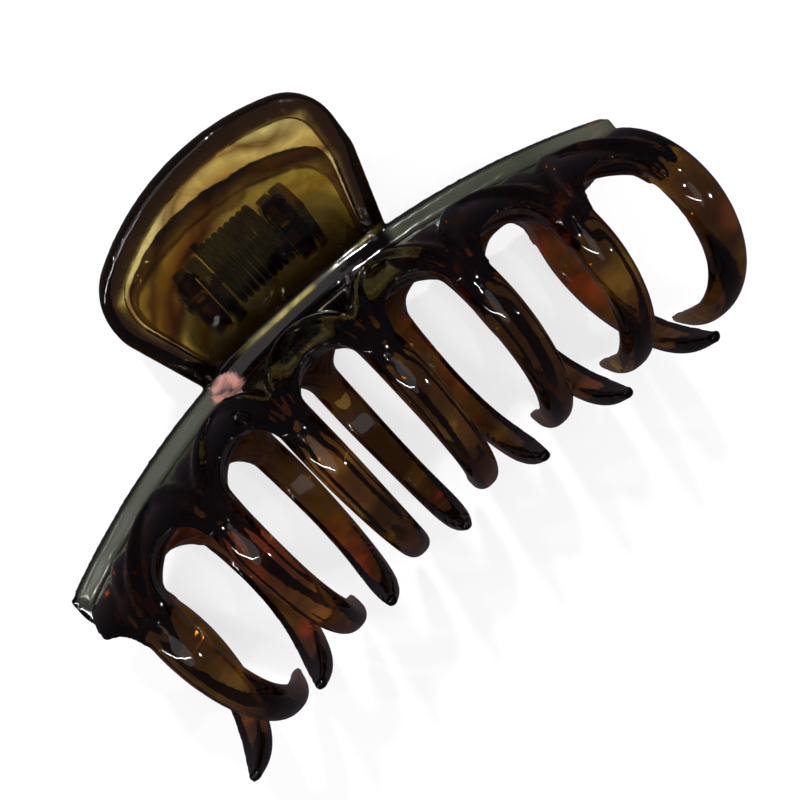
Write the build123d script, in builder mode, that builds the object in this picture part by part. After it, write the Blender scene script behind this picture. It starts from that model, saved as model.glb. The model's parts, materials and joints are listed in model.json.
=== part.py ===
"""Claw hair clip: two interlacing moulded halves, a hinge pin and a torsion spring.

The clip is drawn closed in its own frame: X runs along the hinge, Y points from
the teeth to the handles and Z is the thickness, with the parting plane at Z = 0.
At the end it is laid down as it rests on a table, with its origin at the bottom
centre.  All sizes are in millimetres.
"""
from build123d import *
from math import asin, atan2, cos, degrees, radians, sin, sqrt
import os

os.makedirs("parts", exist_ok=True)

# ---- spine ---------------------------------------------------------------
arch_radius = 127.5        # the outer edge of the spine, seen from above
spine_right = 51.5         # the end that is flush with a tooth
spine_left = 49.4          # the end that stands past the last tooth
band_thickness = 2.8
band_ledge = 2.6           # flat ledge outside the teeth
band_flare = 0.9           # the edge leans out towards the parting plane
seam_gap = 0.3             # half of the gap between the two closed halves

# ---- teeth ---------------------------------------------------------------
tooth_count = 7
tooth_pitch = 14.8
tooth_offset = 3.8         # the middle tooth's distance from the centre
tooth_width = 5.4
tooth_depth = 4.4
outer_rounding = 0.42      # of a tooth's outer corners, as a share of its width
inner_rounding = 0.10      # and of the corners of its flat inner face
tip_width = 3.9
tip_depth = 3.3
tip_point = 0.4            # how much of that is left at the very end
point_from = 0.85          # share of the way down where a tooth starts to come to its point
# a tooth's centreline is a cubic curve, as (distance in from the spine's edge, height)
tooth_reach = 38.4         # to the tip
tip_drop = 14.5            # how far a tip crosses the parting plane
root_height = 2.0
root_rise = 25.0           # how high the curve is drawn up over the root
belly_rise = 44.0          # and over the tip, which sets the height of the belly
valley_depth = 7.2         # from the spine's edge to the bottom of a valley
fan_per_mm = 0.0018        # how much the teeth converge, radians per mm of X
end_shortening = 0.11      # share of its reach that a tooth loses at the end
arch_span = 50.0           # where that share is reached
longest_at = -5.0          # the X at which a tooth is longest

# ---- handle --------------------------------------------------------------
handle_neck = 33.4         # width where it leaves the spine
handle_width = 40.8
handle_length = 26.0       # along the plate
handle_crown = 37.0        # radius of the free edge
handle_corner = 7.5        # on the right
handle_left_corner = 9.0
crown_offset = 2.5         # of the top's arc, towards the right
handle_widest = 12.0       # how far along the plate it reaches its full width
handle_angle = 28.0        # splay of the plate from the parting plane
handle_root_z = 1.7        # middle of the plate at the spine's edge
plate_thickness = 1.7
rim_width = 3.0
rim_thickness = 3.3
rim_round = 1.0

# ---- hinge ---------------------------------------------------------------
hinge_y = 10.0
pin_radius = 1.0
pin_clearance = 0.05
pin_overhang = 0.5
pin_head_radius = 1.7
pin_head_length = 0.8
knuckle_radius = 4.4
knuckle_inner = 5.5        # where the first knuckle of each pair begins
knuckle_width = 2.3
knuckle_gap = 0.1

# ---- spring --------------------------------------------------------------
wire_radius = 0.5
coil_turns = 8             # whole turns, before the part turn between the legs
coil_clearance = 0.3       # from the coil to the knuckle beside it
leg_length = 7.5
leg_clearance = 0.2        # from a leg to the plate that it presses


def arch(x):
    """Y of the spine's outer edge at x."""
    return sqrt(arch_radius**2 - x**2) - arch_radius


# ---- what follows from those sizes ---------------------------------------
root_out = band_ledge + tooth_depth / 2
curve_points = [
    (root_out, root_height), (root_out, root_height + root_rise),
    (tooth_reach, belly_rise - tip_drop), (tooth_reach, -tip_drop),
]
slot_radius = (tooth_pitch - tooth_width) / 2
shell_reach = valley_depth + slot_radius
tooth_places = [tooth_offset + tooth_pitch * (i - (tooth_count - 1) / 2) for i in range(tooth_count)]
plate_slope = radians(handle_angle)
plate = Plane(origin=(0, 0, handle_root_z), x_dir=(1, 0, 0), z_dir=(0, -sin(plate_slope), cos(plate_slope)))
plate_distance = handle_root_z * cos(plate_slope) + hinge_y * sin(plate_slope)  # from the hinge's axis
bore_radius = pin_radius + pin_clearance
coil_radius = plate_distance - plate_thickness / 2 - leg_clearance - wire_radius
coil_length = 2 * (knuckle_inner - coil_clearance - wire_radius)
coil_pitch = coil_length / (coil_turns + (180 - 2 * handle_angle) / 360)
knuckle_outer = knuckle_inner + knuckle_width + knuckle_gap
knuckle_end = knuckle_outer + knuckle_width


def tooth_curve(share):
    """Distance from the edge and height on the middle tooth, some share of the way down."""
    rest = 1 - share
    weights = (rest**3, 3 * rest**2 * share, 3 * rest * share**2, share**3)
    return [sum(w * point[i] for w, point in zip(weights, curve_points)) for i in (0, 1)]


def fan(x):
    """Turn of a tooth about Z, so that the tips draw together."""
    return fan_per_mm * x


def tooth_stations(x):
    """Points down a tooth's centreline as (distance from the edge, height, share of the way)."""
    shrink = 1 - end_shortening * ((x - longest_at) / arch_span) ** 2
    for share in [i / 12 for i in range(11)] + [0.9, 0.95, 1]:
        out, up = tooth_curve(share)
        yield band_ledge + (out - band_ledge) * shrink, up, share


def tooth_planes(x):
    """A plane across the tooth at each station, with its X across the tooth."""
    points = list(tooth_stations(x))
    turn = fan(x)
    down = Vector(-sin(turn), -cos(turn), 0)
    across = Vector(cos(turn), -sin(turn), 0)
    places = [Vector(x, arch(x), 0) + down * out + Vector(0, 0, up) for out, up, _ in points]
    for i, place in enumerate(places):
        ahead = places[min(i + 1, len(places) - 1)]
        behind = places[max(i - 1, 0)]
        yield Plane(origin=place, x_dir=across, z_dir=ahead - behind), points[i][2]


def tooth_size(share):
    """Width and depth of a tooth some share of the way down, and how far it leans to its inner face."""
    taper = max(share - 0.45, 0) / 0.55
    width = tooth_width + (tip_width - tooth_width) * taper
    depth = tooth_depth + (tip_depth - tooth_depth) * taper
    left = 1 - (1 - tip_point) * (max(share - point_from, 0) / (1 - point_from)) ** 2
    return width * left, depth * left, depth * (1 - left) / 2


def handle_outline(inset):
    """The handle's outline on its plate, drawn in by inset."""
    waist, side = handle_neck / 2 - inset, handle_width / 2 - inset
    top = handle_length - inset
    with BuildSketch() as outline:
        with BuildLine():
            Polyline(
                (-waist, -2), (waist, -2), (side, handle_widest), (side, top + 1),
                (-side, top + 1), (-side, handle_widest), close=True,
            )
        make_face()
        with Locations((crown_offset, handle_length - handle_crown)):
            Circle(handle_crown - inset, mode=Mode.INTERSECT)
        for side, corner in ((-1, handle_left_corner), (1, handle_corner)):
            fillet(outline.vertices().sort_by(lambda v: v.Y + side * v.X)[-1], corner - inset)
    return outline.sketch


# ---- the handle's rim ------------------------------------------------------
with BuildPart() as handle_rim:
    with BuildSketch(plate.offset(-rim_thickness / 2)):
        add(handle_outline(0))
        add(handle_outline(rim_width), mode=Mode.SUBTRACT)
    extrude(amount=rim_thickness)
    fillet(handle_rim.edges().filter_by(Axis((0, 0, 0), plate.z_dir), reverse=True), rim_round)

# ---- one moulded half ----------------------------------------------------
with BuildPart() as front_half:
    # spine band and the curved wall that carries the teeth, turned about the arch's centre
    turn = asin((spine_right + 1) / arch_radius)
    sweep_angle = turn + asin(spine_left / arch_radius)
    radial = Vector(sin(turn), cos(turn), 0)
    with BuildSketch(Plane(origin=(0, -arch_radius, 0), x_dir=radial, z_dir=(cos(turn), -sin(turn), 0))):
        with BuildLine():
            middle = Bezier(*[(arch_radius - out, up) for out, up in curve_points], mode=Mode.PRIVATE)
            walls = [[middle @ (i / 10) + (middle % (i / 10)).rotate(Axis.Z, turn) * tooth_depth / 2
                      for i in range(9)] for turn in (90, -90)]
            inside, outside = Spline(walls[0]), Spline(walls[1])
            Line(inside @ 0, outside @ 0)
            Line(inside @ 1, outside @ 1)
        make_face()
        with Locations((arch_radius, seam_gap)):
            Rectangle(shell_reach, root_rise, align=(Align.MAX, Align.MIN), mode=Mode.INTERSECT)
        with BuildLine():
            Polyline(
                (arch_radius - root_out - tooth_depth / 2, seam_gap),
                (arch_radius + band_flare, seam_gap),
                (arch_radius, band_thickness + seam_gap),
                (arch_radius - root_out, band_thickness + seam_gap),
                close=True,
            )
        make_face()
    revolve(axis=Axis((0, -arch_radius, 0), (0, 0, 1)), revolution_arc=degrees(sweep_angle))

    # round valleys between the teeth, and the short stub past the last tooth
    with BuildSketch():
        for x in [tooth_places[0] - tooth_pitch] + tooth_places[:-1]:
            middle = x + tooth_pitch / 2
            turn = fan(middle)
            place = (middle - shell_reach * sin(turn), arch(middle) - shell_reach * cos(turn), 0)
            with Locations(Location(place, (0, 0, -degrees(turn)))):
                Rectangle(2 * slot_radius, shell_reach, align=(Align.CENTER, Align.MAX))
                Circle(slot_radius)
    extrude(amount=2 * root_rise, mode=Mode.SUBTRACT)
    with Locations((spine_right, 0, 0)):
        Box(arch_radius, 2 * arch_radius, 4 * root_rise,
            align=(Align.MIN, Align.CENTER, Align.CENTER), mode=Mode.SUBTRACT)

    # teeth
    for x in tooth_places:
        for place, share in tooth_planes(x):
            width, depth, lean = tooth_size(share)
            with BuildSketch(place) as section:
                with Locations((0, -lean)):
                    Rectangle(width, depth)
                fillet(section.vertices().sort_by(Axis.Y)[-2:], outer_rounding * width)
                fillet(section.vertices().sort_by(Axis.Y)[:2], inner_rounding * width)
        loft()

    # handle: a thin plate with a thick rounded rim
    with BuildSketch(plate.offset(-plate_thickness / 2)):
        add(handle_outline(rim_width / 2))
    extrude(amount=plate_thickness)
    add(handle_rim.part)

    # nothing of a half crosses the seam beside the spine
    with Locations((0, 0, seam_gap)):
        Box(2 * spine_right, 2 * band_ledge + rim_width, band_thickness,
            align=(Align.CENTER, Align.CENTER, Align.MAX), mode=Mode.SUBTRACT)

    # hinge knuckles, each with a web up to the plate
    for left in (knuckle_inner, -knuckle_end):
        with BuildSketch(Plane.YZ.offset(left)):
            with Locations(Location((hinge_y, 0, 0), (0, 0, handle_angle))):
                Circle(knuckle_radius)
                Rectangle(2 * knuckle_radius, plate_distance, align=(Align.CENTER, Align.MIN))
                Circle(bore_radius, mode=Mode.SUBTRACT)
        extrude(amount=knuckle_width)

# ---- the other half: the same moulding, turned over -----------------------
with BuildPart() as back_half:
    add(front_half.part.rotate(Axis.Y, 180))

# ---- hinge pin with one upset head ----------------------------------------
with BuildPart() as hinge_pin:
    with BuildSketch(Plane.YZ.offset(-knuckle_end - pin_overhang)):
        with Locations((hinge_y, 0)):
            Circle(pin_radius)
    extrude(amount=2 * (knuckle_end + pin_overhang))
    chamfer(hinge_pin.edges().sort_by(Axis.X)[-1], 0.2 * pin_radius)
    with BuildSketch(Plane.YZ.offset(-knuckle_end - pin_overhang)):
        with Locations((hinge_y, 0)):
            Circle(pin_head_radius)
    extrude(amount=-pin_head_length)
    fillet(hinge_pin.edges().sort_by(Axis.X)[0], 0.6 * pin_head_length)

# ---- torsion spring: a close coil round the pin, with a leg on each plate --
# drawn about Z, with its X pointing at the front plate
with BuildPart() as torsion_spring:
    with BuildLine() as turns:
        Helix(pitch=coil_pitch, height=coil_length, radius=coil_radius)
    with BuildSketch(Plane(origin=turns.line @ 0, z_dir=turns.line % 0)):
        Circle(wire_radius)
    sweep(path=turns.line)
    for end, side in ((0, -1), (1, 1)):
        with BuildSketch(Plane(origin=turns.line @ end, z_dir=(turns.line % end) * side)):
            Circle(wire_radius)
        extrude(amount=leg_length)
lean = radians(90 + handle_angle)
hinge_frame = Plane(origin=(-coil_length / 2, hinge_y, 0), x_dir=(0, cos(lean), sin(lean)), z_dir=(1, 0, 0))

# ---- laid down on the back handle's rim and the back teeth -----------------
outer = rim_thickness / 2
rim_y = handle_length * cos(plate_slope) - outer * sin(plate_slope)
rim_drop = handle_root_z + handle_length * sin(plate_slope) + outer * cos(plate_slope)
belly = [tooth_curve(i / 100) for i in range(101)]
lie_angle = degrees(max(atan2(up + tooth_depth / 2 - rim_drop, rim_y + out) for out, up in belly))
lay = Location((0, 0, 0), (-lie_angle, 0, 0))
boxes = [half.part.moved(lay).bounding_box() for half in (front_half, back_half)]
whole = boxes[0].add(boxes[1])
origin = Vector(whole.center().X, whole.center().Y, whole.min.Z)
rest = Location(-origin) * lay

front_half.part.move(rest)
front_half.part.label = "front_half"
export_step(front_half.part, "parts/front_half.step")

back_half.part.move(rest)
back_half.part.label = "back_half"
export_step(back_half.part, "parts/back_half.step")

hinge_pin.part.move(rest)
hinge_pin.part.label = "hinge_pin"
export_step(hinge_pin.part, "parts/hinge_pin.step")

torsion_spring.part.move(rest * hinge_frame.location)
torsion_spring.part.label = "torsion_spring"
export_step(torsion_spring.part, "parts/torsion_spring.step")

print("lies at", round(lie_angle, 2), "degrees; origin", origin)
hinge = Vector(0, hinge_y, 0).rotate(Axis.X, -lie_angle) - origin
print("hinge at", hinge)
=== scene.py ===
import json
import math

import bmesh
import bpy
from mathutils import Matrix, Vector


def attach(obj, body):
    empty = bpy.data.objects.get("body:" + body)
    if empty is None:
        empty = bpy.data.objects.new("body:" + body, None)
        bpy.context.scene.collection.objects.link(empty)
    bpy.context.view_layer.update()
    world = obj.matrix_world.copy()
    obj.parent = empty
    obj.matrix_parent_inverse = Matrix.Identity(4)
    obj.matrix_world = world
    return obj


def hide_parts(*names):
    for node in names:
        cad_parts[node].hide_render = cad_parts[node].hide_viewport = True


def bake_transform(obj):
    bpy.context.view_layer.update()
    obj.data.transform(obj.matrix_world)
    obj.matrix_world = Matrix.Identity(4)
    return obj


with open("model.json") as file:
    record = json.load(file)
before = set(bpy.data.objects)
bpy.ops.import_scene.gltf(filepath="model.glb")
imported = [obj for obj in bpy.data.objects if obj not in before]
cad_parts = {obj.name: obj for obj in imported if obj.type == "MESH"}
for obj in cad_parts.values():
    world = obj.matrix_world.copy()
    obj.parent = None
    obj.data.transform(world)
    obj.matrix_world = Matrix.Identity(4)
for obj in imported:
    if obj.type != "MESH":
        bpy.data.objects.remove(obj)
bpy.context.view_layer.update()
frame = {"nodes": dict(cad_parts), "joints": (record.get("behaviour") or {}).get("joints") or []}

MM = 0.001

# ---- the clip's own frame: X along the hinge, Y to the handles, Z up from the parting plane ----
LIE = math.radians(9.51)
HINGE_Y = 10.0
hinge = Vector(frame["joints"][0]["pos_m"])
AT_HINGE = Matrix.Translation(hinge) @ Matrix.Rotation(-LIE, 4, "X")
CLIP = AT_HINGE @ Matrix.Translation((0, -HINGE_Y * MM, 0))
TURNED = CLIP @ Matrix.Rotation(math.pi, 4, "Y")

# ---- the part's own sizes, in millimetres ----
ARCH_RADIUS, SPINE_RIGHT, BAND_LEDGE = 127.5, 51.5, 2.6
TOOTH_COUNT, TOOTH_PITCH, TOOTH_OFFSET = 7, 14.8, 3.8
TOOTH_WIDTH, TOOTH_DEPTH, TOOTH_REACH, TIP_DROP = 5.4, 4.4, 38.4, 14.5
ROOT_HEIGHT, ROOT_RISE, BELLY_RISE = 2.0, 25.0, 44.0
VALLEY_DEPTH = 7.2
FAN = 0.0018  # how much the teeth converge, radians per millimetre of X
HANDLE_NECK, HANDLE_WIDTH, HANDLE_LENGTH, HANDLE_CROWN = 33.4, 40.8, 26.0, 37.0
CROWN_OFFSET, HANDLE_WIDEST, RIM_WIDTH = 2.5, 12.0, 3.0
HANDLE_SLOPE, HANDLE_ROOT_Z = math.radians(28), 1.7

ROOT_OUT = BAND_LEDGE + TOOTH_DEPTH / 2
CURVE = (
    (ROOT_OUT, ROOT_HEIGHT),
    (ROOT_OUT, ROOT_HEIGHT + ROOT_RISE),
    (TOOTH_REACH, BELLY_RISE - TIP_DROP),
    (TOOTH_REACH, -TIP_DROP),
)
SLOT_RADIUS = (TOOTH_PITCH - TOOTH_WIDTH) / 2
TEETH = [(TOOTH_COUNT // 2 - i) * TOOTH_PITCH + TOOTH_OFFSET for i in range(TOOTH_COUNT)]

# ---- the relief moulded over the solids, in millimetres ----
TUBE_SIDES = 20
LIP_OUTSET, LIP_LEG_STEPS, LIP_LEG_STEP, LIP_TURN_STEPS = 2.1, 5, 2.0, 16
LIP_END, LIP_GROWTH, LIP_FULLNESS = 1.0, 0.85, 1.6
SHOULDER_STEPS, SHOULDER_SHARE = 14, 0.36
SHOULDER_OUT, SHOULDER_DRIFT, SHOULDER_LIFT = 1.5, 0.9, 0.3
SHOULDER_SIZE, SHOULDER_TAPER, SHOULDER_FULLNESS = 2.1, 1.1, 1.25
CURVE_START, CURVE_END, NORMAL_STEP = 0.02, 0.8, 0.01
HALVINGS = 30
VOXEL = 0.4 * MM
SMOOTHING = 4


def arch(x):
    """The spine's outer edge: its Y at x."""
    return math.sqrt(ARCH_RADIUS**2 - x**2) - ARCH_RADIUS


def along(share):
    """Distance in from the spine's edge and height of the middle tooth's centreline."""
    rest = 1 - share
    weights = (rest**3, 3 * rest**2 * share, 3 * rest * share**2, share**3)
    return [sum(w * p[i] for w, p in zip(weights, CURVE)) for i in (0, 1)]


def share_at(distance):
    """The share of the centreline at which it is that far in from the spine's edge."""
    low, high = 0.0, CURVE_END
    for _ in range(HALVINGS):
        middle = (low + high) / 2
        if along(middle)[0] < distance:
            low = middle
        else:
            high = middle
    return low


def on_wall(x, across, distance):
    """A point on the middle of the wall, some way in from the spine's edge at x."""
    turn = FAN * x
    place_x = x - math.sin(turn) * distance + across
    up = along(share_at(distance))[1]
    return Vector((place_x, arch(place_x) - math.cos(turn) * distance, up))


def wall_normal(distance):
    """The direction out of the wall, that far in from the spine's edge."""
    share = share_at(distance)
    before = along(max(share - NORMAL_STEP, 0))
    after = along(share + NORMAL_STEP)
    inwards, up = after[0] - before[0], after[1] - before[1]
    length = math.hypot(inwards, up)
    return Vector((0, up / length, inwards / length))


def tube(mesh, path, widths, heights):
    """Adds a closed tube of oval section in the clip's frame; heights lie along the path's normals."""
    rings = []
    for i, (point, normal) in enumerate(path):
        ahead = path[min(i + 1, len(path) - 1)][0] - path[max(i - 1, 0)][0]
        ahead.normalize()
        side = ahead.cross(normal).normalized()
        out = side.cross(ahead).normalized()
        ring = []
        for k in range(TUBE_SIDES):
            turn = 2 * math.pi * k / TUBE_SIDES
            sideways = side * (widths[i] * math.cos(turn))
            ring.append(mesh.verts.new(point + sideways + out * (heights[i] * math.sin(turn))))
        rings.append(ring)
    for a, b in zip(rings, rings[1:]):
        for k in range(TUBE_SIDES):
            following = (k + 1) % TUBE_SIDES
            mesh.faces.new((a[k], a[following], b[following], b[k]))
    mesh.faces.new(rings[0][::-1])
    mesh.faces.new(rings[-1])


def valley_ring(mesh, x):
    """A rounded lip round a valley, blending into the two teeth beside it."""
    radius = SLOT_RADIUS + LIP_OUTSET
    reach = VALLEY_DEPTH + SLOT_RADIUS
    turns = [math.pi * k / LIP_TURN_STEPS for k in range(LIP_TURN_STEPS + 1)]
    stops = [(radius, reach + k * LIP_LEG_STEP) for k in range(LIP_LEG_STEPS, 0, -1)]
    stops += [(radius * math.cos(turn), reach - radius * math.sin(turn)) for turn in turns]
    stops += [(-radius, reach + k * LIP_LEG_STEP) for k in range(1, LIP_LEG_STEPS + 1)]
    path = [(on_wall(x, across, distance), wall_normal(distance)) for across, distance in stops]
    last = len(path) - 1
    grown = [min(1, k / LIP_LEG_STEPS, (last - k) / LIP_LEG_STEPS) for k in range(last + 1)]
    size = [LIP_END + LIP_GROWTH * share for share in grown]
    tube(mesh, path, size, [s * LIP_FULLNESS for s in size])


def end_shoulder(mesh, x):
    """Carries the end of the spine over into the outer side of the first tooth."""
    turn = FAN * x
    path, size = [], []
    for k in range(SHOULDER_STEPS + 1):
        distance, up = along(SHOULDER_SHARE * k / SHOULDER_STEPS)
        outwards = x - math.sin(turn) * distance + SHOULDER_OUT
        place_x = outwards - SHOULDER_DRIFT * k / SHOULDER_STEPS
        point = Vector((place_x, arch(place_x) - math.cos(turn) * distance, up))
        normal = wall_normal(max(distance, along(CURVE_START)[0]))
        path.append((point + normal * SHOULDER_LIFT, normal))
        size.append(SHOULDER_SIZE - SHOULDER_TAPER * k / SHOULDER_STEPS)
    tube(mesh, path, size, [s * SHOULDER_FULLNESS for s in size])


def moulded_half(node, body, place):
    """The CAD half with its lips and shoulder, joined and rounded as one moulding."""
    source = frame["nodes"][node]
    mesh = bmesh.new()
    mesh.from_mesh(source.data)
    mesh.transform(place.inverted())
    bmesh.ops.scale(mesh, vec=(1 / MM,) * 3, verts=mesh.verts)
    for x in TEETH[:-1]:
        valley_ring(mesh, x - TOOTH_PITCH / 2)
    end_shoulder(mesh, TEETH[0])
    bmesh.ops.scale(mesh, vec=(MM,) * 3, verts=mesh.verts)
    bmesh.ops.transform(mesh, matrix=place, verts=mesh.verts)
    data = bpy.data.meshes.new(node + "_moulded")
    mesh.to_mesh(data)
    mesh.free()
    rough = bpy.data.objects.new(node + "_rough", data)
    bpy.context.scene.collection.objects.link(rough)
    remesh = rough.modifiers.new("remesh", "REMESH")
    remesh.mode = "VOXEL"
    remesh.voxel_size = VOXEL
    smooth = rough.modifiers.new("smooth", "SMOOTH")
    smooth.factor = 0.5
    smooth.iterations = SMOOTHING
    graph = bpy.context.evaluated_depsgraph_get()
    final = bpy.data.meshes.new_from_object(rough.evaluated_get(graph))
    bpy.data.objects.remove(rough)
    for face in final.polygons:
        face.use_smooth = True
    piece = bpy.data.objects.new(node + "_shell", final)
    bpy.context.scene.collection.objects.link(piece)
    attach(piece, body)
    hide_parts(node)
    return piece


# ---- where the plastic is pale, dark or smoky, and where shade, a sheen, a highlight and a reflection are painted on, kept on the mesh as three colours ----
# Lengths are in millimetres. Each pair is where a mask starts and where it is full; the painted
# reflection's pair is in shares of its size, and SHADE_HINGE and SHADE_ROOT say how strong the painted
# shade is.
PLATE_EDGE, PLATE_FROM_ROOT, PLATE_FROM_SPINE = (-0.6, 0.5), 0.6, 0.3
KNUCKLE_UNDER, KNUCKLE_AHEAD, KNUCKLE_BESIDE = (-1.0, -1.7), (2.0, 3.0), (9.5, 8.5)
TIP_HEIGHT, TEETH_FROM = (3.0, -12.0), -10
BAND_INNER, BAND_OUTER, BAND_HEIGHT = (2.7, 2.3), (-0.3, 0.2), (2.3, 2.9)
BAND_BESIDE = (HANDLE_NECK / 2 - 1.0, HANDLE_NECK / 2 + 0.8)
RIM_FROM = (0.3, 1.5)
WALL_INWARDS, WALL_BEFORE = (13, 8), (1.5, -0.5)
SHADE_HALF_WIDTH, SHADE_LENGTH, SHADE_EDGE, SHADE_RUN = 10, 6.5, (5.0, 3.8), (8, 0)
SHADE_HINGE, SHADE_ROOT = 0.6, 0.35
REFLECTION_PLACE, REFLECTION_SIZE, REFLECTION_EDGE = (-14.8, -3.0, 4.0), (2.6, 2.3, 4.0), (1.06, 0.96)
CREASE_X, CREASE_Y = 3, -0.2
CREASE_EDGE, CREASE_LENGTH, CREASE_HEIGHT = (0.5, 0.15), (14.5, 7), (2.2, 2.8)


def smoothstep(low, high, value):
    """Nought at low and one at high, with a soft start and end."""
    t = min(max((value - low) / (high - low), 0), 1)
    return t * t * (3 - 2 * t)


def mask_colours(p, is_front):
    """The masks at a point of a half, in its own frame: "where", "deep" and "marks"."""
    run = p.y * math.cos(HANDLE_SLOPE) + (p.z - HANDLE_ROOT_Z) * math.sin(HANDLE_SLOPE)
    height = (p.z - HANDLE_ROOT_Z) * math.cos(HANDLE_SLOPE) - p.y * math.sin(HANDLE_SLOPE)
    inwards = arch(min(max(p.x, -SPINE_RIGHT), SPINE_RIGHT)) - p.y

    # the hinge knuckles hang under the plate and are as dark as the rim
    knuckle = (smoothstep(*KNUCKLE_UNDER, height) * smoothstep(*KNUCKLE_AHEAD, p.y)
               * smoothstep(*KNUCKLE_BESIDE, abs(p.x)))
    widening = HANDLE_NECK + (HANDLE_WIDTH - HANDLE_NECK) * run / HANDLE_WIDEST
    half_width = min(widening, HANDLE_WIDTH) / 2
    crown_run = run - HANDLE_LENGTH + HANDLE_CROWN
    inside = min(
        half_width - abs(p.x) - RIM_WIDTH,
        HANDLE_CROWN - math.hypot(p.x - CROWN_OFFSET, crown_run) - RIM_WIDTH,
        run - PLATE_FROM_ROOT,
        p.y - PLATE_FROM_SPINE,
    )
    plate = smoothstep(*PLATE_EDGE, inside) * (1 - knuckle)
    rim = (1 - plate) * smoothstep(*RIM_FROM, p.y)
    tip = smoothstep(*TIP_HEIGHT, p.z) if p.y < TEETH_FROM else 0
    band = (smoothstep(*BAND_INNER, inwards) * smoothstep(*BAND_HEIGHT, p.z)
            * smoothstep(*BAND_OUTER, inwards) * smoothstep(*BAND_BESIDE, abs(p.x)))

    wall = smoothstep(*WALL_INWARDS, inwards) * smoothstep(*WALL_BEFORE, p.y)
    # painted shade: the plate darkens over the hinge and towards its root
    around = math.hypot(max(abs(p.x) - SHADE_HALF_WIDTH, 0), max(run - SHADE_LENGTH, 0))
    painted_shade = SHADE_HINGE * smoothstep(*SHADE_EDGE, around) + SHADE_ROOT * smoothstep(*SHADE_RUN, run)

    # a painted reflection at the front handle's left foot, and a painted highlight along the crease
    # where each handle meets the wall
    foot = math.hypot(*[(p[i] - REFLECTION_PLACE[i]) / REFLECTION_SIZE[i] for i in range(3)])
    pink_reflection = smoothstep(*REFLECTION_EDGE, foot) if is_front else 0
    crease_highlight = (smoothstep(*CREASE_EDGE, abs(p.y - CREASE_Y))
              * smoothstep(*CREASE_LENGTH, abs(p.x - CREASE_X)) * smoothstep(*CREASE_HEIGHT, p.z))
    return (plate, tip, band, rim), (wall, min(painted_shade, 1), knuckle, 1), (pink_reflection, crease_highlight, 0, 1)


def masks(piece, place):
    """Keeps the masks on a half's mesh as colours."""
    back = place.inverted()
    attributes = piece.data.color_attributes
    # the third colour holds painted light: the painted reflection at the front handle's foot and the
    # painted highlight in the crease
    names = ("where", "deep", "painted_light")
    for name in names:
        attributes.new(name, "FLOAT_COLOR", "POINT")
    layers = [attributes[name].data for name in names]
    is_front = place == CLIP
    for i, vertex in enumerate(piece.data.vertices):
        colours = mask_colours((back @ vertex.co) / MM, is_front)
        for layer, colour in zip(layers, colours):
            layer[i].color = colour


# ---- nodes: each helper takes node outputs or plain values, and gives an output ----
def node_material(name):
    material = bpy.data.materials.new(name)
    material.use_nodes = True
    tree = material.node_tree
    tree.nodes.clear()
    return material, tree


def feed(tree, socket, value):
    """Links a node's output to a socket, or sets the socket to a plain value."""
    if isinstance(value, bpy.types.NodeSocket):
        tree.links.new(value, socket)
    elif socket.type == "RGBA":
        socket.default_value = (*value, 1)
    else:
        socket.default_value = value


def number_math(tree, operation, a, b, clamp=False):
    node = tree.nodes.new("ShaderNodeMath")
    node.operation = operation
    node.use_clamp = clamp
    feed(tree, node.inputs[0], a)
    feed(tree, node.inputs[1], b)
    return node.outputs["Value"]


def vector_math(tree, operation, *values):
    node = tree.nodes.new("ShaderNodeVectorMath")
    node.operation = operation
    for socket, value in zip(node.inputs, values):
        feed(tree, socket, value)
    return node.outputs["Value" if operation in ("LENGTH", "DISTANCE") else "Vector"]


def mixed(tree, kind, factor, under, over):
    """A mix of two colours."""
    mix = tree.nodes.new("ShaderNodeMix")
    mix.data_type = "RGBA"
    mix.blend_type = kind
    feed(tree, mix.inputs["Factor"], factor)
    feed(tree, mix.inputs["A"], under)
    feed(tree, mix.inputs["B"], over)
    return mix.outputs["Result"]


def layered(tree, factor, under, over):
    """A mix of two shaders: the upper one shows where the factor is one."""
    mix = tree.nodes.new("ShaderNodeMixShader")
    feed(tree, mix.inputs["Fac"], factor)
    feed(tree, mix.inputs[1], under)
    feed(tree, mix.inputs[2], over)
    return mix.outputs["Shader"]


def noise_node(tree, place, scale, detail=2.0, distortion=0.0):
    noise = tree.nodes.new("ShaderNodeTexNoise")
    noise.inputs["Scale"].default_value = scale
    noise.inputs["Detail"].default_value = detail
    noise.inputs["Distortion"].default_value = distortion
    feed(tree, noise.inputs["Vector"], place)
    return noise


def ramp(tree, factor, stops):
    """A colour ramp through stops of a position and a colour."""
    node = tree.nodes.new("ShaderNodeValToRGB")
    elements = node.color_ramp.elements
    while len(elements) < len(stops):
        elements.new(0.5)
    for element, (position, colour) in zip(elements, stops):
        element.position = position
        element.color = (*colour, 1)
    feed(tree, node.inputs["Fac"], factor)
    return node.outputs["Color"]


def cloudy(tree, place, noise, stops):
    """A colour ramp over noise of some scale per metre, detail and distortion."""
    return ramp(tree, noise_node(tree, place, *noise).outputs["Fac"], stops)


def rescaled(tree, value, low, high):
    """The value's share of the way from low to high, between nought and one."""
    node = tree.nodes.new("ShaderNodeMapRange")
    node.inputs["From Min"].default_value = low
    node.inputs["From Max"].default_value = high
    feed(tree, node.inputs["Value"], value)
    return node.outputs["Result"]


def mask_layer(tree, name):
    """The red, green, blue and alpha of one of the masks on the mesh."""
    layer = tree.nodes.new("ShaderNodeVertexColor")
    layer.layer_name = name
    parts = tree.nodes.new("ShaderNodeSeparateColor")
    feed(tree, parts.inputs["Color"], layer.outputs["Color"])
    return [parts.outputs[channel] for channel in ("Red", "Green", "Blue")] + [layer.outputs["Alpha"]]


def principled(tree, colour, roughness):
    shader = tree.nodes.new("ShaderNodeBsdfPrincipled")
    feed(tree, shader.inputs["Base Color"], colour)
    shader.inputs["Roughness"].default_value = roughness
    return shader


def emission(tree, colour):
    shader = tree.nodes.new("ShaderNodeEmission")
    feed(tree, shader.inputs["Color"], colour)
    return shader.outputs["Emission"]


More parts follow.
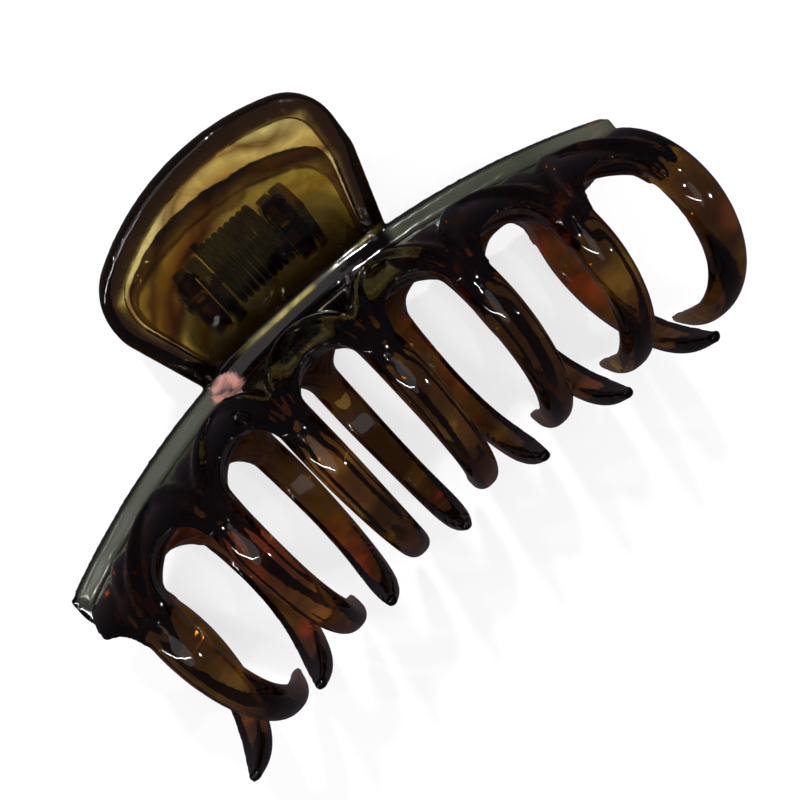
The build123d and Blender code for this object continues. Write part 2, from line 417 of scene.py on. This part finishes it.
# ---- the plastic: a noise is its scale per metre, detail and distortion; a ramp is its stops ----
BLACK, WHITE = (0, 0, 0), (1, 1, 1)
CLOUD_NOISE, GLINT_NOISE, WARP_NOISE = (95, 3, 0.6), (70, 2, 0.3), (90, 2)
HAZE_NOISE, PATCH_NOISE, RIPPLE_NOISE = (240, 4, 1.2), (60, 1), (260, 2, 0.4)
BAND_SHEEN_NOISE, CREASE_HIGHLIGHT_NOISE, PINK_REFLECTION_NOISE = (70, 2), (150, 3, 0.5), (330, 3, 0.8)
SHELL_ROUGHNESS, BAND_SHEEN_ROUGHNESS, CREASE_ROUGHNESS, REFLECTION_ROUGHNESS = 0.05, 0.22, 0.25, 0.3
THICK_DARK, THICK_BROWN = (0.046, 0.024, 0.025), (0.14, 0.075, 0.052)
GLINTS, REDDISH = ((0.58, BLACK), (0.72, (0.8, 0.8, 0.8))), (0.62, 0.11, 0.12)
SMOKY, WALL_TINT, KNUCKLE_TINT = (0.13, 0.085, 0.09), (0.40, 0.34, 0.30), (0.02, 0.012, 0.012)
HAZE = ((0.3, (0.50, 0.43, 0.22)), (0.68, (0.80, 0.75, 0.47)))
# the colour of the painted shade over the hinge and towards the plate's root
PAINTED_SHADE_TINT = (0.10, 0.07, 0.045)
STROKE_CENTRE = CLIP @ (Vector((8.6, -4.6, 0)) * MM)
STROKE_BEND, STROKES_FROM, STROKES_TO = (0.009, 0.009, 0.009), 0.020, 0.036
STROKE = (0.22, 0.10, 0.05)
STROKES = (
    (0.05, WHITE), (0.12, (0.8, 0.6, 0.4)), (0.18, WHITE),
    (0.30, WHITE), (0.37, STROKE), (0.42, (0.7, 0.5, 0.3)),
    (0.52, (0.9, 0.8, 0.6)), (0.60, STROKE), (0.66, WHITE),
)
STROKE_PATCHES = ((0.30, BLACK), (0.46, WHITE))
EJECTOR_MARKS = ((0.9, 16.0), (-0.2, 3.8))
EJECTOR_HEIGHT, EJECTOR_FROM, EJECTOR_TO = 0.85, 0.0013, 0.0022
EJECTOR_LINE = ((0.38, WHITE), (0.46, (0.3, 0.18, 0.1)), (0.54, WHITE))
# the painted sheen on the band, the painted highlight in the crease and the painted reflection at the
# handle's foot
BAND_SHEEN_RAMP = ((0.3, (0.03, 0.033, 0.019)), (0.7, (0.075, 0.078, 0.055)))
BAND_SHEEN_SHARE = 0.75
CREASE_HIGHLIGHT_RAMP = ((0.42, (0.02, 0.014, 0.006)), (0.58, (0.24, 0.19, 0.03)), (0.70, (0.6, 0.52, 0.22)))
PINK_REFLECTION_RAMP = ((0.42, (0.04, 0.016, 0.014)), (0.60, (0.36, 0.16, 0.125)))


def thick_colour(tree, place, mask, rim_tint, amber):
    """The thick plastic of the teeth, walls, rim and knuckles."""
    clouds = ((0.44, THICK_DARK), (0.57, THICK_BROWN), (0.67, amber))
    colour = cloudy(tree, place, CLOUD_NOISE, clouds)
    # a few reddish glints deep in the teeth
    colour = mixed(tree, "MIX", cloudy(tree, place, GLINT_NOISE, GLINTS), colour, REDDISH)
    # tips go smoky and a little purple
    colour = mixed(tree, "MIX", mask["tip"], colour, SMOKY)
    colour = mixed(tree, "MULTIPLY", mask["wall"], colour, WALL_TINT)
    colour = mixed(tree, "MIX", mask["rim"], colour, rim_tint)
    return mixed(tree, "MIX", mask["knuckle"], colour, KNUCKLE_TINT)


def swept_strokes(tree, place):
    """Dark strokes swept across the plate, fading out in patches."""
    warp = noise_node(tree, place, *WARP_NOISE).outputs["Color"]
    from_centre = vector_math(tree, "SUBTRACT", place, STROKE_CENTRE)
    bent = vector_math(tree, "MULTIPLY_ADD", warp, STROKE_BEND, from_centre)
    radius = vector_math(tree, "LENGTH", vector_math(tree, "MULTIPLY", bent, (1, 1, 0)))
    strokes = ramp(tree, rescaled(tree, radius, STROKES_FROM, STROKES_TO), STROKES)
    fade = cloudy(tree, place, PATCH_NOISE, STROKE_PATCHES)
    return mixed(tree, "MIX", fade, WHITE, strokes)


def ejector_mark(tree, place, place_of_half, x, y):
    """A thin ring left on the plate by the mould."""
    z = HANDLE_ROOT_Z + y * math.tan(HANDLE_SLOPE) + EJECTOR_HEIGHT
    middle = place_of_half @ (Vector((x, y, z)) * MM)
    distance = vector_math(tree, "DISTANCE", place, middle)
    return ramp(tree, rescaled(tree, distance, EJECTOR_FROM, EJECTOR_TO), EJECTOR_LINE)


def plate_colour(tree, place, mask, place_of_half):
    """The thin, clear plate of a handle."""
    haze = cloudy(tree, place, HAZE_NOISE, HAZE)
    colour = mixed(tree, "MULTIPLY", 1.0, haze, swept_strokes(tree, place))
    for x, y in EJECTOR_MARKS:
        line = ejector_mark(tree, place, place_of_half, x, y)
        colour = mixed(tree, "MULTIPLY", 1.0, colour, line)
    # painted shade over the hinge and towards the plate's root
    return mixed(tree, "MULTIPLY", mask["painted_shade"], colour, PAINTED_SHADE_TINT)


def tortoiseshell(name, rim_tint, amber, place_of_half):
    material, tree = node_material(name)
    output = tree.nodes.new("ShaderNodeOutputMaterial")
    place = tree.nodes.new("ShaderNodeTexCoord").outputs["Object"]
    mask = dict(zip(("plate", "tip", "band", "rim"), mask_layer(tree, "where")))
    mask.update(zip(("wall", "painted_shade", "knuckle"), mask_layer(tree, "deep")))
    mask.update(zip(("pink_reflection", "crease_highlight"), mask_layer(tree, "painted_light")))

    thick = thick_colour(tree, place, mask, rim_tint, amber)
    plate = plate_colour(tree, place, mask, place_of_half)
    tint = mixed(tree, "MIX", mask["plate"], thick, plate)
    shell = principled(tree, tint, SHELL_ROUGHNESS)
    shell.inputs["Transmission Weight"].default_value = 1.0
    shell.inputs["IOR"].default_value = 1.5
    # faint flow marks and scratches in the polish
    bump = tree.nodes.new("ShaderNodeBump")
    bump.inputs["Strength"].default_value = 0.12
    bump.inputs["Distance"].default_value = 0.0004
    feed(tree, bump.inputs["Height"], noise_node(tree, place, *RIPPLE_NOISE).outputs["Fac"])
    feed(tree, shell.inputs["Normal"], bump.outputs["Normal"])

    # painted sheen: the band's face is painted a rough grey-green that stands in for the sheen it
    # reflects, so it looks less clear
    band_sheen = principled(tree, cloudy(tree, place, BAND_SHEEN_NOISE, BAND_SHEEN_RAMP), BAND_SHEEN_ROUGHNESS)
    band_sheen_share = number_math(tree, "MULTIPLY", mask["band"], BAND_SHEEN_SHARE)
    surface = layered(tree, band_sheen_share, shell.outputs["BSDF"], band_sheen.outputs["BSDF"])
    # a painted highlight, a yellow line in the crease, and a painted reflection, a pinkish patch at
    # the handle's foot
    crease_highlight = principled(tree, cloudy(tree, place, CREASE_HIGHLIGHT_NOISE, CREASE_HIGHLIGHT_RAMP), CREASE_ROUGHNESS)
    surface = layered(tree, mask["crease_highlight"], surface, crease_highlight.outputs["BSDF"])
    pink_reflection = principled(tree, cloudy(tree, place, PINK_REFLECTION_NOISE, PINK_REFLECTION_RAMP), REFLECTION_ROUGHNESS)
    surface = layered(tree, mask["pink_reflection"], surface, pink_reflection.outputs["BSDF"])
    feed(tree, output.inputs["Surface"], surface)

    inside = tree.nodes.new("ShaderNodeVolumeAbsorption")
    inside.inputs["Color"].default_value = (0.74, 0.64, 0.16, 1)
    inside.inputs["Density"].default_value = 620.0
    feed(tree, output.inputs["Volume"], inside.outputs["Volume"])
    return material


# ---- the steel of the pin and spring ----
GRAIN_NOISE, GRAIN_DARKNESS = (900,), 0.7


def metal(name, colour, roughness):
    material, tree = node_material(name)
    output = tree.nodes.new("ShaderNodeOutputMaterial")
    place = tree.nodes.new("ShaderNodeTexCoord").outputs["Object"]
    darker = [c * GRAIN_DARKNESS for c in colour]
    grain = cloudy(tree, place, GRAIN_NOISE, ((0, darker), (1, colour)))
    shader = principled(tree, grain, roughness)
    shader.inputs["Metallic"].default_value = 1.0
    feed(tree, output.inputs["Surface"], shader.outputs["BSDF"])
    return material


def dress(piece, material):
    piece.data.materials.clear()
    piece.data.materials.append(material)


# ---- the two halves ----
front = moulded_half("front_half", "front", CLIP)
back = moulded_half("back_half", "back", TURNED)
masks(front, CLIP)
masks(back, TURNED)
FRONT_RIM, FRONT_AMBER = (0.03, 0.018, 0.022), (0.55, 0.42, 0.15)
# the back half is a copy of the same plastic: its teeth get a darker amber as painted shade, and its
# rim a paler tint than the front's
BACK_RIM, BACK_SHADED_AMBER = (0.15, 0.085, 0.045), (0.14, 0.08, 0.05)
dress(front, tortoiseshell("tortoiseshell_front", FRONT_RIM, FRONT_AMBER, CLIP))
dress(back, tortoiseshell("tortoiseshell_back", BACK_RIM, BACK_SHADED_AMBER, TURNED))

# ---- the pin, and a copy of the spring with its placement baked in
spring_node = frame["nodes"]["torsion_spring"]
spring = bpy.data.objects.new("torsion_spring_wire", spring_node.data.copy())
spring.data.transform(spring_node.matrix_world)
bpy.context.scene.collection.objects.link(spring)
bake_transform(spring)
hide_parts("torsion_spring")
pin = frame["nodes"]["hinge_pin"]
dress(pin, metal("pin_steel", (0.45, 0.43, 0.4), 0.3))
# the spring is painted near black: dark steel, made darker still as painted shade for the coil lying
# under the plate and knuckles
dress(spring, metal("spring_steel", (0.022, 0.018, 0.016), 0.45))
for piece in (pin, spring):
    for face in piece.data.polygons:
        face.use_smooth = True

# ---- floor and room: white to the eye and through the plastic, dim in reflections ----
FLOOR_REACH = 3
FLOOR_PAINT, FLOOR_GLOW, FLOOR_MIRRORED = (0.90, 0.88, 0.90), 0.72, (0.055, 0.045, 0.055)
ROOM_LIGHT, ROOM_MIRRORED = (0.36, 0.35, 0.37), (0.075, 0.065, 0.08)


def ray_kinds(tree):
    """Two masks: rays seen directly or through the plastic, and rays off a glossy surface."""
    seen = tree.nodes.new("ShaderNodeLightPath").outputs
    through = seen["Is Transmission Ray"]
    direct = number_math(tree, "MAXIMUM", seen["Is Camera Ray"], through)
    mirrored = number_math(tree, "SUBTRACT", seen["Is Glossy Ray"], through, clamp=True)
    return direct, mirrored


corners = [(x * FLOOR_REACH, y * FLOOR_REACH, 0) for x, y in ((-1, -1), (1, -1), (1, 1), (-1, 1))]
floor_mesh = bpy.data.meshes.new("floor")
floor_mesh.from_pydata(corners, [], [(0, 1, 2, 3)])
floor = bpy.data.objects.new("floor", floor_mesh)
bpy.context.scene.collection.objects.link(floor)
floor_material, tree = node_material("floor")
output = tree.nodes.new("ShaderNodeOutputMaterial")
matte = tree.nodes.new("ShaderNodeBsdfDiffuse")
feed(tree, matte.inputs["Color"], FLOOR_PAINT)
direct, mirrored = ray_kinds(tree)
glow = number_math(tree, "MULTIPLY", direct, FLOOR_GLOW)
paint = layered(tree, glow, matte.outputs["BSDF"], emission(tree, WHITE))
feed(tree, output.inputs["Surface"], layered(tree, mirrored, paint, emission(tree, FLOOR_MIRRORED)))
floor_mesh.materials.append(floor_material)

world = bpy.data.worlds.new("room")
bpy.context.scene.world = world
world.use_nodes = True
tree = world.node_tree
direct, mirrored = ray_kinds(tree)
room = mixed(tree, "MIX", mirrored, ROOM_LIGHT, ROOM_MIRRORED)
backdrop = mixed(tree, "MIX", direct, room, WHITE)
feed(tree, tree.nodes["Background"].inputs["Color"], backdrop)

# ---- lights: place and aim in metres, size in metres, power in watts ----
CLIP_MIDDLE = (0, 0, 0.02)
HANDLES = (0, 0.02, 0.02)


def area_light(name, at, towards, size, power):
    data = bpy.data.lights.new(name, "AREA")
    data.shape = "ELLIPSE"
    data.size, data.size_y = size
    data.energy = power
    lamp = bpy.data.objects.new(name, data)
    lamp.location = at
    lamp.rotation_euler = (Vector(towards) - Vector(at)).to_track_quat("-Z", "Y").to_euler()
    bpy.context.scene.collection.objects.link(lamp)
    return lamp


softbox = area_light("softbox", (-0.02, 0.10, 0.6), HANDLES, (0.4, 0.4), 0.6)
softbox.visible_glossy = False
area_light("sky", (-0.12, 0.16, 0.6), HANDLES, (0.5, 0.35), 0.3)
area_light("lamp_near", (0.22, -0.02, 0.45), CLIP_MIDDLE, (0.02, 0.02), 0.4)
area_light("lamp", (0.10, 0.34, 0.40), CLIP_MIDDLE, (0.03, 0.03), 1.7)
area_light("lamp_far", (-0.28, 0.30, 0.42), CLIP_MIDDLE, (0.02, 0.02), 0.5)
area_light("strip", (-0.24, 0.06, 0.32), CLIP_MIDDLE, (0.012, 0.45), 0.6)

# ---- the camera, at the photograph's viewing angle ----
CAMERA_PLACE = Vector((-0.00758, 0.02381, 0.16194))
camera_data = bpy.data.cameras.new("camera")
camera_data.lens = 45
camera_data.sensor_width = 36
camera_data.clip_start = 0.01
camera = bpy.data.objects.new("camera", camera_data)
forward = Vector((0.06663, -0.23691, -0.96924)).normalized()
upward = Vector((0.67764, 0.72375, -0.13032)).normalized()
right = forward.cross(upward).normalized()
upward = right.cross(forward)
facing = Matrix((right, upward, -forward)).transposed()
camera.matrix_world = Matrix.Translation(CAMERA_PLACE) @ facing.to_4x4()
bpy.context.scene.collection.objects.link(camera)
bpy.context.scene.camera = camera
bpy.context.scene.view_settings.view_transform = "Standard"
